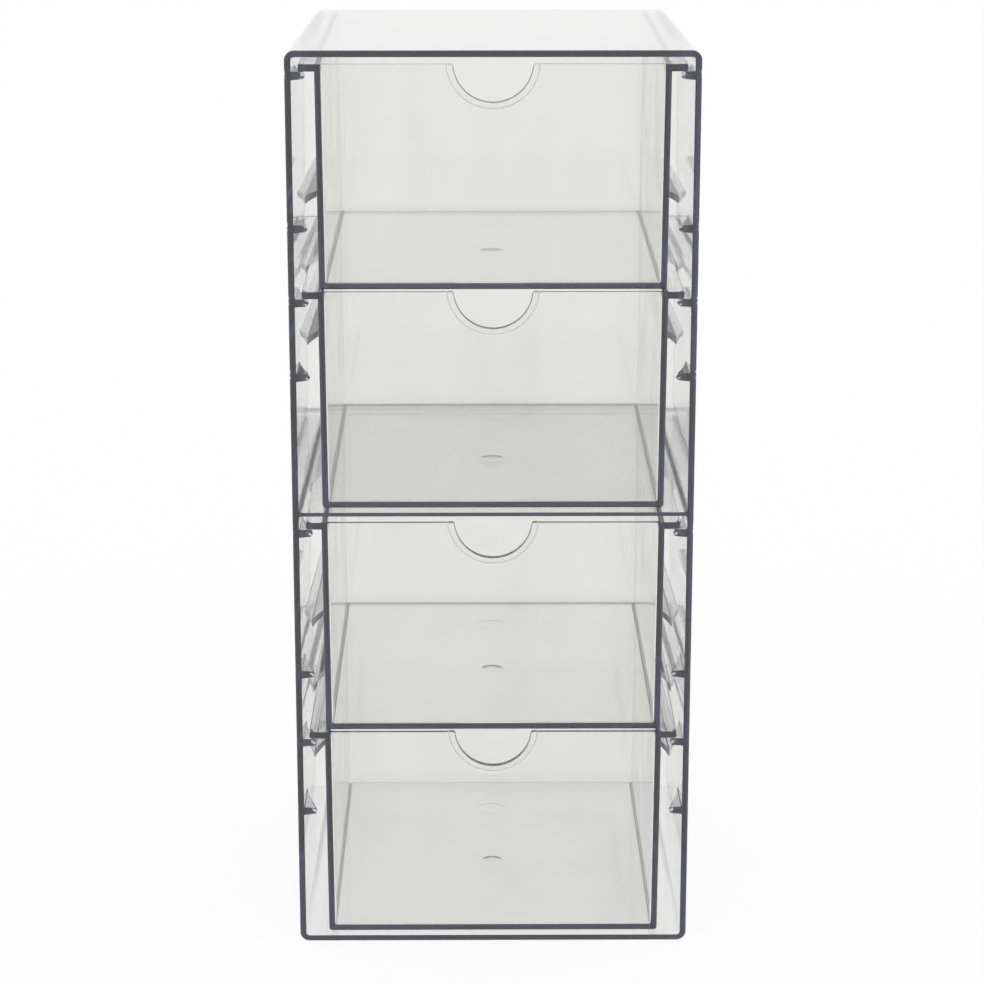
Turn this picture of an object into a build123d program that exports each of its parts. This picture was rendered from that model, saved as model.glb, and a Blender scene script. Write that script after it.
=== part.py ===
"""Clear drawer tower: one moulded casing with two bays, and four equal drawers.

Every drawer hangs by the flanges along its sides on lugs and rails inside the casing. The
front faces -Y, up is +Z, and the tower stands on Z = 0, centred on the Z axis. Each piece
is drawn with its front at Y = 0 and its underside at Z = 0. Lengths are in mm.
"""
import os

from build123d import *

os.makedirs("parts", exist_ok=True)

# Casing
casing_width = 165.0
casing_depth = 178.0
casing_height = 380.0
casing_wall = 2.6
back_thickness = 2.6
shelf_thickness = 1.6
bay_corner = 1.4
back_edge_radius = 4.0
rim_ease = 0.4

# Draft of the casing: how far each face has moved inwards by the back
side_lean_outside = 2.9
side_lean_inside = 2.3
top_lean_outside = 3.0
top_lean_inside = 2.0
shelf_lean = 0.6
floor_lean = 0.6

# Supports on the side walls, each a lug at the mouth and a rail that starts behind it. Their
# tops lie on a grid of equal steps, three a drawer. The spare ones suit taller drawers.
steps_per_drawer = 3
carrier_places = (0, 3)
carrier_tip_thickness = 2.9
carrier_root_thickness = 3.6
spare_places = (2, 4)
spare_tip_drop = 0.6
spare_tip_thickness = 2.4
spare_root_thickness = 4.0
support_tip_ease = 0.8
support_plan_radius = 80.0
lug_length = 28.0
rail_from_front = 58.0
rail_run_in = 27.0

# Drawer
drawers_per_bay = 2
drawer_wall = 2.4
drawer_floor = 2.2
drawer_front_thickness = 2.0
drawer_side_lean = 0.6
drawer_front_corner_outside = 1.2
drawer_front_corner_inside = 1.0
drawer_back_corner_outside = 3.5
drawer_back_corner_inside = 2.0
drawer_bottom_radius = 1.2
drawer_floor_radius = 1.0
flange_thickness = 2.9
flange_bearing = 2.9
flange_corner = 1.5
flange_ease = 0.4

# Finger notch in the front panel, with a low ring behind it
notch_radius = 15.9
notch_depth = 15.1
notch_corner_radius = 1.2
notch_ring_width = 2.9
notch_ring_height = 0.5
notch_ease = 0.3

# Round moulding marks under the drawer floor: the gate's sloping well and a pin's disc
gate_from_front = 75.0
gate_well_diameter = 9.8
gate_well_floor = 6.0
gate_well_depth = 1.1
pin_mark_from_back = 36.0
pin_mark_diameter = 13.0
pin_mark_depth = 0.3

# Clearances; those to the casing are taken at its narrower back
clearance_above_flange = 0.8
clearance_beside_flange = 0.4
clearance_beside_rail = 3.55
clearance_between_drawers = 0.9
clearance_below_drawers = 1.1
clearance_behind_drawers = 1.8

# Sizes that follow: bays and drawer grid
bay_height = (casing_height - 2 * casing_wall - shelf_thickness) / 2
bay_half_width = casing_width / 2 - casing_wall
bay_depth = casing_depth - back_thickness
bay_floors = (casing_wall, casing_wall + bay_height + shelf_thickness)
casing_corner = bay_corner + casing_wall
gap_above_flange = top_lean_inside + clearance_above_flange
gap_below_drawers = floor_lean + clearance_below_drawers
drawer_stack = bay_height - gap_above_flange - gap_below_drawers
drawer_pitch = (drawer_stack + clearance_between_drawers) / drawers_per_bay
drawer_height = drawer_pitch - clearance_between_drawers
support_step = drawer_pitch / steps_per_drawer

# Sizes that follow: flanges, supports and drawer body
flange_half_width = bay_half_width - side_lean_inside - clearance_beside_flange
support_tip_half_width = flange_half_width - flange_bearing
support_below_ceiling = gap_above_flange + flange_thickness
drawer_half_width = support_tip_half_width - clearance_beside_rail
drawer_depth = bay_depth - clearance_behind_drawers
notch_centre_height = drawer_height + notch_radius - notch_depth


def support_section(top, tip_drop, tip_thickness, root_thickness):
    """Tapered section of a right-hand support, from its eased tip into the wall."""
    tip_top = top - tip_drop
    with BuildSketch(Plane.XZ) as section:
        with BuildLine():
            Polyline(
                (support_tip_half_width, tip_top),
                (casing_width / 2, top),
                (casing_width / 2, top - root_thickness),
                (support_tip_half_width, tip_top - tip_thickness),
                close=True,
            )
        make_face()
        chamfer(section.vertices().sort_by(Axis.X)[:2], support_tip_ease)
    return section.sketch


def support_plan():
    """Plan of a right-hand support: the lug curves back to the wall, the rail out from it."""
    outside = casing_width / 2
    lug_tip = (support_tip_half_width, 0)
    lug_end = (bay_half_width, lug_length)
    rail_start = (bay_half_width, rail_from_front)
    rail_tip = (support_tip_half_width, rail_from_front + rail_run_in)
    rail_end = (support_tip_half_width, casing_depth)
    with BuildSketch() as plan:
        with BuildLine():
            RadiusArc(lug_tip, lug_end, -support_plan_radius)
            Polyline(lug_end, (outside, lug_length), (outside, 0), lug_tip)
        make_face()
        with BuildLine():
            RadiusArc(rail_start, rail_tip, -support_plan_radius)
            Polyline(rail_tip, rail_end, (outside, casing_depth), (outside, rail_from_front), rail_start)
        make_face()
    return plan.sketch


def build_supports(section):
    """A pair of supports with the given section, one on each side wall."""
    with BuildPart() as supports:
        extrude(section, amount=-casing_depth)
        extrude(support_plan(), amount=bay_height, mode=Mode.INTERSECT)
        mirror(about=Plane.YZ)
    return supports.part


def build_carriers(top):
    """The supports under a drawer's flanges, level on top."""
    return build_supports(support_section(top, 0, carrier_tip_thickness, carrier_root_thickness))


def build_spares(top):
    """The supports between the drawers, thinner at the tip and sloping down to it."""
    section = support_section(top, spare_tip_drop, spare_tip_thickness, spare_root_thickness)
    return build_supports(section)


def build_bay_hollow(floor, ceiling_lean):
    """The drafted hollow of one bay, with its supports left standing."""
    width = 2 * bay_half_width
    first_top = bay_height - support_below_ceiling
    with BuildPart(Plane.XY.offset(floor)) as hollow:
        Wedge(
            width,
            bay_depth,
            bay_height,
            side_lean_inside,
            floor_lean,
            width - side_lean_inside,
            bay_height - ceiling_lean,
            align=(Align.CENTER, Align.MIN, Align.MIN),
        )
        fillet(hollow.edges().group_by(Axis.Y)[1], bay_corner)
        for place in carrier_places:
            add(build_carriers(first_top - place * support_step), mode=Mode.SUBTRACT)
        for place in spare_places:
            add(build_spares(first_top - place * support_step), mode=Mode.SUBTRACT)
    return hollow.part


def build_casing():
    """Drafted shell with a closed back, a shelf between two bays, and supports."""
    lower_bay = build_bay_hollow(bay_floors[0], shelf_lean)
    upper_bay = build_bay_hollow(bay_floors[1], top_lean_inside)
    with BuildPart() as casing:
        Wedge(
            casing_width,
            casing_depth,
            casing_height,
            side_lean_outside,
            0,
            casing_width - side_lean_outside,
            casing_height - top_lean_outside,
            align=(Align.CENTER, Align.MIN, Align.MIN),
        )
        fillet(casing.edges().group_by(Axis.Y)[1], casing_corner)
        fillet(casing.faces().sort_by(Axis.Y)[-1].edges(), back_edge_radius)
        chamfer(casing.faces().sort_by(Axis.Y)[0].edges(), rim_ease)
        add(lower_bay, mode=Mode.SUBTRACT)
        add(upper_bay, mode=Mode.SUBTRACT)
    return casing.part


def build_drafted_block(half_width, front, back, floor, front_corner, back_corner, floor_radius):
    """Block under the top of the drawer that narrows downwards, with rounded edges."""
    width = 2 * half_width
    length = back - front
    drop = drawer_height - floor
    lean = drawer_side_lean * drop / drawer_height
    hanging_plane = Plane((0, front, drawer_height), x_dir=(1, 0, 0), z_dir=(0, 1, 0))
    with BuildPart(hanging_plane) as block:
        Wedge(
            width,
            drop,
            length,
            lean,
            lean,
            width - lean,
            length - lean,
            align=(Align.CENTER, Align.MIN, Align.MIN),
        )
        fillet(block.edges().group_by(Axis.Z)[1].group_by(Axis.Y)[0], front_corner)
        fillet(block.edges().group_by(Axis.Z)[1].group_by(Axis.Y)[-1], back_corner)
        fillet(block.faces().sort_by(Axis.Z)[0].edges(), floor_radius)
    return block.part


def build_flange_slab():
    """Slab as wide as both flanges, with eased edges."""
    with BuildPart() as slab:
        with BuildSketch(Plane.XY.offset(drawer_height)):
            with Locations((0, drawer_depth / 2)):
                RectangleRounded(2 * flange_half_width, drawer_depth, flange_corner)
        extrude(amount=-flange_thickness)
        chamfer(slab.faces().sort_by(Axis.Z)[0].edges(), flange_ease)
        chamfer(slab.faces().sort_by(Axis.Z)[-1].edges(), flange_ease)
    return slab.part


def build_notch_ring():
    """Part ring behind the front panel that thickens it round the notch."""
    start = drawer_front_thickness / 2
    with BuildPart() as ring:
        with BuildSketch(Plane.XZ.offset(-start)):
            with Locations((0, notch_centre_height)):
                Circle(notch_radius + notch_ring_width)
        extrude(amount=-(start + notch_ring_height))
        chamfer(ring.edges().group_by(Axis.Y)[-1], notch_ease)
        split(bisect_by=Plane.XY.offset(drawer_height), keep=Keep.BOTTOM)
    return ring.part


def notch_section():
    """Outline of the notch, open at the top, with the panel's two corners rounded off."""
    with BuildSketch(Plane.XZ) as section:
        with Locations((0, notch_centre_height)):
            Circle(notch_radius)
        with Locations((0, drawer_height)):
            Rectangle(drawer_half_width, notch_radius, align=(Align.CENTER, Align.MIN))
        panel_corners = section.vertices().sort_by_distance((0, 0, drawer_height))[:2]
        fillet(panel_corners, notch_corner_radius)
    return section.sketch


def build_drawer():
    """One drawer with its floor at Z = 0."""
    body = build_drafted_block(
        drawer_half_width,
        0,
        drawer_depth,
        0,
        drawer_front_corner_outside,
        drawer_back_corner_outside,
        drawer_bottom_radius,
    )
    hollow = build_drafted_block(
        drawer_half_width - drawer_wall,
        drawer_front_thickness,
        drawer_depth - drawer_wall,
        drawer_floor,
        drawer_front_corner_inside,
        drawer_back_corner_inside,
        drawer_floor_radius,
    )
    flange_slab = build_flange_slab()
    notch_ring = build_notch_ring()
    notch = notch_section()
    notch_cut_depth = drawer_front_thickness + notch_ring_height
    with BuildPart() as drawer:
        add(body)
        add(flange_slab)
        add(hollow, mode=Mode.SUBTRACT)
        add(notch_ring)
        extrude(notch, amount=-notch_cut_depth, mode=Mode.SUBTRACT)
        with Locations((0, gate_from_front, 0)):
            Cone(
                gate_well_diameter / 2,
                gate_well_floor / 2,
                gate_well_depth,
                align=(Align.CENTER, Align.CENTER, Align.MIN),
                mode=Mode.SUBTRACT,
            )
        with Locations((0, drawer_depth - pin_mark_from_back, 0)):
            Cylinder(
                pin_mark_diameter / 2,
                pin_mark_depth,
                align=(Align.CENTER, Align.CENTER, Align.MIN),
                mode=Mode.SUBTRACT,
            )
    return drawer.part


def finish_piece(name, shape, height):
    """Stand a finished shape at its height in the tower, label it and write it."""
    with BuildPart(Plane((0, -casing_depth / 2, height))) as piece:
        add(shape)
    piece.part.label = name
    export_step(piece.part, f"parts/{name}.step")
    print(name, "valid" if piece.part.is_valid else "not valid", piece.part.bounding_box())


finish_piece("casing", build_casing(), 0)

# Drawers are numbered from the top down
drawer_shape = build_drawer()
drawer_tops = [
    bay_floor + bay_height - gap_above_flange - place_in_bay * drawer_pitch
    for bay_floor in reversed(bay_floors)
    for place_in_bay in range(drawers_per_bay)
]
for number, drawer_top in enumerate(drawer_tops, start=1):
    finish_piece(f"drawer_{number}", drawer_shape, drawer_top - drawer_height)
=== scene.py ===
# Clear drawer tower in a plain white studio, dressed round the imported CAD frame.
import math

import bpy
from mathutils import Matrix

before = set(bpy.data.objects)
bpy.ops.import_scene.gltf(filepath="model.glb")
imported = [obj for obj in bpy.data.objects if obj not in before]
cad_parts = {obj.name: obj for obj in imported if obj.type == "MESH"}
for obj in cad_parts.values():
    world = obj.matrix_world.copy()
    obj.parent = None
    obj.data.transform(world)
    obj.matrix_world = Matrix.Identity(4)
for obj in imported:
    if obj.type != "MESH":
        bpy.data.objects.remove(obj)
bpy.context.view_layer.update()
print("stage 1: frame loaded,", len(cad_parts), "nodes")


def linearColour(hexCode):
    # an sRGB hex colour as the linear values that a colour socket takes
    parts = [int(hexCode[i:i + 2], 16) / 255 for i in (1, 3, 5)]
    return [p / 12.92 if p <= 0.04045 else ((p + 0.055) / 1.055) ** 2.4 for p in parts] + [1.0]


def addNode(tree, kind, settings=None, inputs=None):
    # one node: settings are its own properties, and an input takes a value or a link
    node = tree.nodes.new(kind)
    for name, value in (settings or {}).items():
        setattr(node, name, value)
    for name, value in (inputs or {}).items():
        if isinstance(value, bpy.types.NodeSocket):
            tree.links.new(value, node.inputs[name])
        else:
            node.inputs[name].default_value = value
    return node


# Crystal polystyrene, injection moulded against polished steel: glassy faces with slow
# waves where the melt froze, a little surface haze, and a blue toner that shows in the
# edges, where light has come a long way inside the wall. Lengths are in metres.
clearPlastic = {
    "tint": "#FFFFFC",              # what one face leaves of white light
    "smoke": "#FCFCF9",             # the same in the smoky flow streaks
    "smokeShare": (0.40, 0.68),     # noise from which the smoke sets in, and where it is full
    "ior": 1.59,
    "haze": 0.030,                  # share of light that the face scatters
    "absorbed": "#2A2A9C",          # what long paths inside the wall are left with
    "density": 18.5,                # per metre, before the colour's share
    "roughness": (0.006, 0.030),    # where the steel was polished best, and where it was worn
    "wornShare": (0.35, 0.75),      # noise from which the wear sets in, and where it is full
    "patchSize": 0.060,             # of a worn patch
    "patchNoise": {"Detail": 3.0},
    "waveSize": 0.028,              # from wave to wave
    "waveHeight": 0.000035,
    "waveNoise": {"Detail": 1.0, "Roughness": 0.4},
    "streakNoise": {"Scale": 1.0, "Detail": 3.0, "Distortion": 0.6},
}

# A drawer's marks. Heights are from its top, and a distance is from the centre of the finger
# notch or of the gate, where the stub was broken off.
drawerFinish = {
    "streakSize": (0.035, 0.060, 0.160),    # of a smoky streak: across, back and up
    "centres": {"fromNotch": ("height", (0.0, 0.0008)), "fromGate": ("depth", (0.0, -0.0140))},
    "notchEdgePaintedShade": "#8C8C92",     # painted shade: a darker tint for the dark line that refraction draws along the notch's edge
    "gateSlope": 0.12,              # share of the well's slope that shows, the rest drew level
    "marks": {
        "gateWell": {
            "where": {"fromGate": (0.0, 0.0050), "height": (-0.0912, -0.0889)},
            "roughness": 0.12, "haze": 0.09},
        "notchEdge": {
            "where": {"fromNotch": (0.01565, 0.01615), "depth": (-0.0893, -0.0850)},
            "roughness": 0.25},
        "ringArc": {
            "where": {"fromNotch": (0.0183, 0.0191), "depth": (-0.0893, -0.0850)},
            "roughness": 0.02, "haze": 0.33},
        "backRim": {
            "where": {"depth": (0.0815, 0.0900), "height": (-0.0008, 0.0008)},
            "roughness": 0.70},
    },
}

# The casing's marks: its top, rubbed by what is put down on it, and the shelf's back edge.
casingFinish = {
    "streakSize": (0.120, 0.026, 0.120),    # across, back and up
    "centres": {},
    "marks": {
        "rubbedTop": {"where": {"height": (0.3740, 0.3810)}, "roughness": 0.07},
        "shelfRoot": {
            "where": {"depth": (0.0800, 0.0900), "height": (0.1885, 0.1920)},
            "roughness": 0.50},
    },
}


def measurePlace(tree, place, top, centres):
    # a point's depth, its height from the top, and its distance from each centre
    axes = addNode(tree, "ShaderNodeSeparateXYZ", {}, {"Vector": place}).outputs
    height = addNode(tree, "ShaderNodeMath", {"operation": "SUBTRACT"}, {0: axes["Z"], 1: top})
    found = {"depth": axes["Y"], "height": height.outputs[0]}
    for name, (second, (across, along)) in centres.items():
        flat = addNode(tree, "ShaderNodeCombineXYZ", {}, {"X": axes["X"], "Y": found[second]})
        far = addNode(tree, "ShaderNodeVectorMath", {"operation": "DISTANCE"}, {
            0: flat.outputs[0], 1: (across, along, 0.0)})
        found[name] = far.outputs["Value"]
    return found


def maskMark(tree, found, where):
    # 1 where every measure lies between its limits, else 0
    mask = 1.0
    for name, (low, high) in where.items():
        inside = addNode(tree, "ShaderNodeMath", {"operation": "COMPARE"}, {
            0: found[name], 1: (low + high) / 2, 2: (high - low) / 2})
        joined = addNode(tree, "ShaderNodeMath", {"operation": "MULTIPLY"}, {
            0: mask, 1: inside.outputs[0]})
        mask = joined.outputs[0]
    return mask


def addMarks(tree, value, masks, marks, kind):
    # the value, or a mark's own where that is more
    for name, mark in marks.items():
        if kind in mark:
            own = addNode(tree, "ShaderNodeMath", {"operation": "MULTIPLY"}, {
                0: masks[name], 1: mark[kind]})
            more = addNode(tree, "ShaderNodeMath", {"operation": "MAXIMUM"}, {
                0: value, 1: own.outputs[0]})
            value = more.outputs[0]
    return value


def drawLevel(tree, mask, slope):
    # the way the surface faces, its sideways part cut to a share where the mask is 1, so
    # that a slope there shades as if it were nearly level
    kept = addNode(tree, "ShaderNodeMath", {"operation": "MULTIPLY_ADD"}, {
        0: mask, 1: slope - 1, 2: 1.0}).outputs[0]
    shares = addNode(tree, "ShaderNodeCombineXYZ", {}, {"X": kept, "Y": kept, "Z": 1.0})
    facing = addNode(tree, "ShaderNodeNewGeometry")
    turned = addNode(tree, "ShaderNodeVectorMath", {"operation": "MULTIPLY"}, {
        0: facing.outputs["Normal"], 1: shares.outputs[0]})
    unit = addNode(tree, "ShaderNodeVectorMath", {"operation": "NORMALIZE"}, {
        0: turned.outputs[0]})
    return unit.outputs[0]


def blendColours(tree, share, first, second):
    # the colour at share 0 and the one at share 1, in the inputs that hold colours
    mixed = addNode(tree, "ShaderNodeMix", {"data_type": "RGBA"}, {0: share, 6: first, 7: second})
    return mixed.outputs[2]


def makeClearPlastic(name, look, finish, top):
    material = bpy.data.materials.new(name)
    material.use_nodes = True
    tree = material.node_tree
    tree.nodes.clear()
    place = addNode(tree, "ShaderNodeTexCoord").outputs["Object"]
    found = measurePlace(tree, place, top, finish["centres"])
    marks = finish["marks"]
    masks = {mark: maskMark(tree, found, marks[mark]["where"]) for mark in marks}

    # slow waves in the faces
    wave = addNode(tree, "ShaderNodeTexNoise", {}, {
        "Vector": place, "Scale": 1 / look["waveSize"], **look["waveNoise"]})
    waved = addNode(tree, "ShaderNodeBump", {}, {
        "Height": wave.outputs["Fac"], "Strength": 1.0, "Distance": look["waveHeight"]})
    if "gateWell" in masks:
        level = drawLevel(tree, masks["gateWell"], finish["gateSlope"])
        tree.links.new(level, waved.inputs["Normal"])

    # polish in patches, and the marks over it
    patch = addNode(tree, "ShaderNodeTexNoise", {}, {
        "Vector": place, "Scale": 1 / look["patchSize"], **look["patchNoise"]})
    worn = addNode(tree, "ShaderNodeMapRange", {}, {
        "Value": patch.outputs["Fac"],
        "From Min": look["wornShare"][0], "From Max": look["wornShare"][1],
        "To Min": look["roughness"][0], "To Max": look["roughness"][1]})
    rough = addMarks(tree, worn.outputs[0], masks, marks, "roughness")
    haze = addMarks(tree, look["haze"], masks, marks, "haze")
    clear = addNode(tree, "ShaderNodeMath", {"operation": "SUBTRACT"}, {0: 1.0, 1: haze})

    # smoky streaks along the flow of the melt
    long = addNode(tree, "ShaderNodeMapping", {}, {
        "Vector": place, "Scale": tuple(1 / size for size in finish["streakSize"])})
    streak = addNode(tree, "ShaderNodeTexNoise", {}, {"Vector": long.outputs[0], **look["streakNoise"]})
    smoky = addNode(tree, "ShaderNodeMapRange", {}, {
        "Value": streak.outputs["Fac"],
        "From Min": look["smokeShare"][0], "From Max": look["smokeShare"][1]})
    tint = blendColours(
        tree, smoky.outputs[0], linearColour(look["tint"]), linearColour(look["smoke"]))
    # painted shade: the notch's edge gets a darker tint that stands for the dark line refraction draws
    # there
    if "notchEdge" in masks:
        tint = blendColours(
            tree, masks["notchEdge"], tint, linearColour(finish["notchEdgePaintedShade"]))

    shader = addNode(tree, "ShaderNodeBsdfPrincipled", {}, {
        "Base Color": tint, "Roughness": rough, "IOR": look["ior"],
        "Transmission Weight": clear.outputs[0], "Normal": waved.outputs["Normal"]})
    inside = addNode(tree, "ShaderNodeVolumeAbsorption", {}, {
        "Color": linearColour(look["absorbed"]), "Density": look["density"]})
    addNode(tree, "ShaderNodeOutputMaterial", {}, {
        "Surface": shader.outputs["BSDF"], "Volume": inside.outputs["Volume"]})
    return material


def topOf(node):
    # the height of a piece's top, which its marks are measured from
    return max((node.matrix_world @ v.co).z for v in node.data.vertices)


for name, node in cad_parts.items():
    if name == "casing":
        plastic = makeClearPlastic("clearPolystyreneCasing", clearPlastic, casingFinish, 0.0)
    else:
        plastic = makeClearPlastic("clearPolystyrene_" + name, clearPlastic, drawerFinish, topOf(node))
    node.data.materials[0] = plastic
print("stage 2: clear plastic made")


studio = {
    "floorColour": "#F2F2F1",
    "floorSize": 12.0,              # metres across
    "floorDrop": 0.0003,            # metres below the part, so that no faces share a plane
    "ownWhite": 0.9,                # share of the floor that is plain white, the rest takes shadows
    "lightStrength": 1.1,
    "whiteStrength": 1.0,
}


def seenRay(tree):
    # 1 for a ray that shows the studio itself, straight, mirrored or through the plastic
    ray = addNode(tree, "ShaderNodeLightPath").outputs
    direct = addNode(tree, "ShaderNodeMath", {"operation": "MAXIMUM"}, {
        0: ray["Is Camera Ray"], 1: ray["Is Glossy Ray"]})
    seen = addNode(tree, "ShaderNodeMath", {"operation": "MAXIMUM"}, {
        0: direct.outputs[0], 1: ray["Is Transmission Ray"]})
    return seen.outputs[0]


def makeWorld(look):
    # even soft light from all round, which looks plain white wherever it is seen
    world = bpy.data.worlds.new("whiteStudio")
    bpy.context.scene.world = world
    world.use_nodes = True
    tree = world.node_tree
    tree.nodes.clear()
    white = linearColour("#FFFFFF")
    light = addNode(tree, "ShaderNodeBackground", {}, {
        "Color": white, "Strength": look["lightStrength"]})
    shown = addNode(tree, "ShaderNodeBackground", {}, {
        "Color": white, "Strength": look["whiteStrength"]})
    mix = addNode(tree, "ShaderNodeMixShader", {}, {
        0: seenRay(tree), 1: light.outputs[0], 2: shown.outputs[0]})
    addNode(tree, "ShaderNodeOutputWorld", {}, {"Surface": mix.outputs[0]})


def makeFloor(look):
    # pale matt paint that runs out into the white round the tower and keeps its shadow
    half = look["floorSize"] / 2
    corners = [(-half, -half), (half, -half), (half, half), (-half, half)]
    mesh = bpy.data.meshes.new("studioFloor")
    mesh.from_pydata([(x, y, -look["floorDrop"]) for x, y in corners], [], [(0, 1, 2, 3)])
    floor = bpy.data.objects.new("studioFloor", mesh)
    bpy.context.scene.collection.objects.link(floor)
    material = bpy.data.materials.new("paleStudioFloor")
    material.use_nodes = True
    tree = material.node_tree
    tree.nodes.clear()
    paint = addNode(tree, "ShaderNodeBsdfDiffuse", {}, {"Color": linearColour(look["floorColour"])})
    shown = addNode(tree, "ShaderNodeEmission", {}, {"Strength": look["whiteStrength"]})
    share = addNode(tree, "ShaderNodeMath", {"operation": "MULTIPLY"}, {
        0: seenRay(tree), 1: look["ownWhite"]})
    mix = addNode(tree, "ShaderNodeMixShader", {}, {
        0: share.outputs[0], 1: paint.outputs[0], 2: shown.outputs[0]})
    addNode(tree, "ShaderNodeOutputMaterial", {}, {"Surface": mix.outputs[0]})
    mesh.materials.append(material)


makeWorld(studio)
makeFloor(studio)
print("stage 3: studio made")


photoCamera = {
    "place": (-0.0079, -1.239, 0.5206),     # metres
    "tiltDown": 15.597,                     # degrees
    "turnRight": 0.371,                     # degrees
    "lens": 106.48,                         # millimetres, as the sensor's width is
    "sensorWidth": 36,
}

lightPaths = {
    "bounces": 40,                          # enough to get through all the walls in line
}


def makeCamera(look):
    data = bpy.data.cameras.new("photoCamera")
    camera = bpy.data.objects.new("photoCamera", data)
    bpy.context.scene.collection.objects.link(camera)
    camera.location = look["place"]
    camera.rotation_euler = (math.radians(90 - look["tiltDown"]), 0, -math.radians(look["turnRight"]))
    data.lens = look["lens"]
    data.sensor_width = look["sensorWidth"]
    bpy.context.scene.camera = camera


makeCamera(photoCamera)
scene = bpy.context.scene
scene.view_settings.view_transform = "Standard"
scene.cycles.max_bounces = lightPaths["bounces"]
scene.cycles.transmission_bounces = lightPaths["bounces"]
scene.cycles.glossy_bounces = lightPaths["bounces"]
print("stage 4: camera set")
